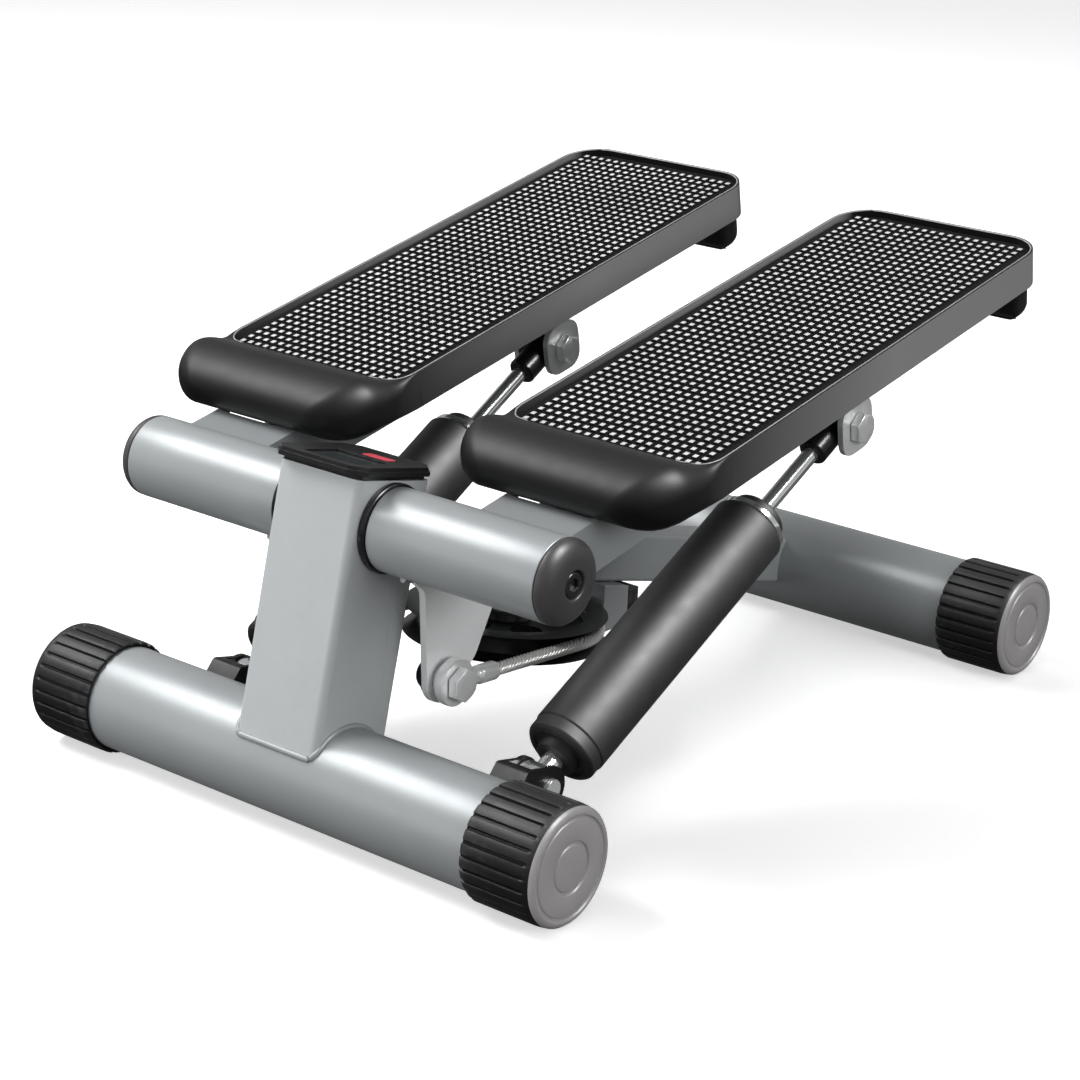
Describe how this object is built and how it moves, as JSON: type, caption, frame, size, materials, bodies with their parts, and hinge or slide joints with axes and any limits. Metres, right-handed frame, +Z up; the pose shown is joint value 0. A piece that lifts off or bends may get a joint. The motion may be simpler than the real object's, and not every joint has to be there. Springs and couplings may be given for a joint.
{
  "type": "mini stepper",
  "caption": "Compact foot stepper: two pedals on a front axle, linked by a wire rope round a pulley and damped by hydraulic cylinders, on a steel frame with a display on its post.",
  "frame": {"origin": "on the floor, under the middle of the machine's footprint", "axes": "+Z up, +Y from the post towards the rear tube, +X towards the pedal named right"},
  "size_m": [0.306, 0.4404, 0.2364],
  "materials": {
    "silver_paint": "satin silver grey paint",
    "black_plastic": "moulded black plastic with a soft sheen",
    "tread_rubber": "matt rubber with small raised studs",
    "cap_rubber": "ribbed dark rubber",
    "black_satin_paint": "satin black paint",
    "zinc_plate": "bright zinc plating",
    "chrome": "polished chrome",
    "wire_rope": "laid steel strands",
    "black_nylon": "black nylon",
    "bush_nylon": "natural nylon",
    "display_window": "clear grey window over a display",
    "red_button": "red moulded plastic"
  },
  "bodies": {
    "root": {"front_tube": "silver_paint", "rear_tube": "silver_paint", "front_left_cap": "cap_rubber", "front_right_cap": "cap_rubber", "rear_left_cap": "cap_rubber", "rear_right_cap": "cap_rubber", "post": "silver_paint", "axle": "zinc_plate", "right_axle_cap": "black_plastic", "left_axle_cap": "black_plastic", "right_axle_bolt": "zinc_plate", "left_axle_bolt": "zinc_plate", "right_post_washer": "black_nylon", "left_post_washer": "black_nylon", "console_housing": "black_plastic", "console_window": "display_window", "spine": "silver_paint", "cable_keeper": "silver_paint", "keeper_plug": "black_nylon", "pulley_bolt": "zinc_plate", "right_foot_bracket": "black_satin_paint", "left_foot_bracket": "black_satin_paint", "right_foot_bolt": "zinc_plate", "left_foot_bolt": "zinc_plate", "wire_rope": "wire_rope"},
    "right_pedal": {"right_sleeve": "silver_paint", "right_bush": "bush_nylon", "right_arm": "silver_paint", "right_deck": "black_plastic", "right_tread": "tread_rubber", "right_rod_bracket": "zinc_plate", "right_rod_bolt": "zinc_plate", "right_lever": "silver_paint", "right_lever_bolt": "zinc_plate", "right_lever_nut": "black_nylon"},
    "left_pedal": {"left_sleeve": "silver_paint", "left_bush": "bush_nylon", "left_arm": "silver_paint", "left_deck": "black_plastic", "left_tread": "tread_rubber", "left_rod_bracket": "zinc_plate", "left_rod_bolt": "zinc_plate", "left_lever": "silver_paint", "left_lever_bolt": "zinc_plate", "left_lever_nut": "black_nylon"},
    "right_cylinder": {"right_barrel": "black_satin_paint", "right_foot_eye": "chrome", "right_gland": "black_satin_paint"},
    "left_cylinder": {"left_barrel": "black_satin_paint", "left_foot_eye": "chrome", "left_gland": "black_satin_paint"},
    "right_rod": {"right_piston_rod": "chrome", "right_rod_end": "black_nylon"},
    "left_rod": {"left_piston_rod": "chrome", "left_rod_end": "black_nylon"},
    "right_rope_end": {"right_rope_terminal": "zinc_plate"},
    "left_rope_end": {"left_rope_terminal": "zinc_plate"},
    "pulley": {"pulley": "black_nylon"},
    "console_button": {"console_button": "red_button"}
  },
  "joints": [
    {"name": "right_pedal_hinge", "type": "hinge", "parent": "root", "child": "right_pedal", "pos_m": [0, -0.16565, 0.14], "axis": [1, 0, 0], "range_deg": [-12, 12]},
    {"name": "left_pedal_hinge", "type": "hinge", "parent": "root", "child": "left_pedal", "pos_m": [0, -0.16565, 0.14], "axis": [1, 0, 0], "range_deg": [-12, 12]},
    {"name": "right_cylinder_hinge", "type": "hinge", "parent": "root", "child": "right_cylinder", "pos_m": [0.0995, -0.15175, 0.036], "axis": [1, 0, 0], "range_deg": [-10.5, 10.5]},
    {"name": "right_rod_slide", "type": "slide", "parent": "right_cylinder", "child": "right_rod", "axis": [0.026, 0.8771, 0.4796], "range_m": [-0.021, 0.021]},
    {"name": "left_cylinder_hinge", "type": "hinge", "parent": "root", "child": "left_cylinder", "pos_m": [-0.0735, -0.15175, 0.036], "axis": [1, 0, 0], "range_deg": [-10.5, 10.5]},
    {"name": "left_rod_slide", "type": "slide", "parent": "left_cylinder", "child": "left_rod", "axis": [0, 0.8717, 0.4901], "range_m": [-0.021, 0.021]},
    {"name": "pulley_spin", "type": "hinge", "parent": "root", "child": "pulley", "pos_m": [0, -0.05175, 0.0582], "axis": [0, 0.0906, 0.9959], "range_deg": [-20, 20]},
    {"name": "right_rope_end_slide", "type": "slide", "parent": "root", "child": "right_rope_end", "axis": [0, 0.9583, 0.2857], "range_m": [-0.0165, 0.0165], "deforming": ["wire_rope"]},
    {"name": "left_rope_end_slide", "type": "slide", "parent": "root", "child": "left_rope_end", "axis": [0, 0.9583, 0.2857], "range_m": [-0.0165, 0.0165], "deforming": ["wire_rope"]},
    {"name": "console_button_press", "type": "slide", "parent": "root", "child": "console_button", "axis": [0, -0.2215, -0.9751], "range_m": [0, 0.0008], "stiffness_N_per_m": 400}
  ],
  "couplings": [
    {"joint": "left_pedal_hinge", "follows": "right_pedal_hinge", "ratio": -1},
    {"joint": "right_cylinder_hinge", "follows": "right_pedal_hinge", "ratio": 0.851},
    {"joint": "right_rod_slide", "follows": "right_pedal_hinge", "m_per_rad": 0.0976},
    {"joint": "left_cylinder_hinge", "follows": "right_pedal_hinge", "ratio": -0.8472},
    {"joint": "left_rod_slide", "follows": "right_pedal_hinge", "m_per_rad": -0.09718},
    {"joint": "right_rope_end_slide", "follows": "right_pedal_hinge", "m_per_rad": 0.0761},
    {"joint": "left_rope_end_slide", "follows": "right_pedal_hinge", "m_per_rad": -0.0761},
    {"joint": "pulley_spin", "follows": "right_pedal_hinge", "ratio": 1.594}
  ]
}
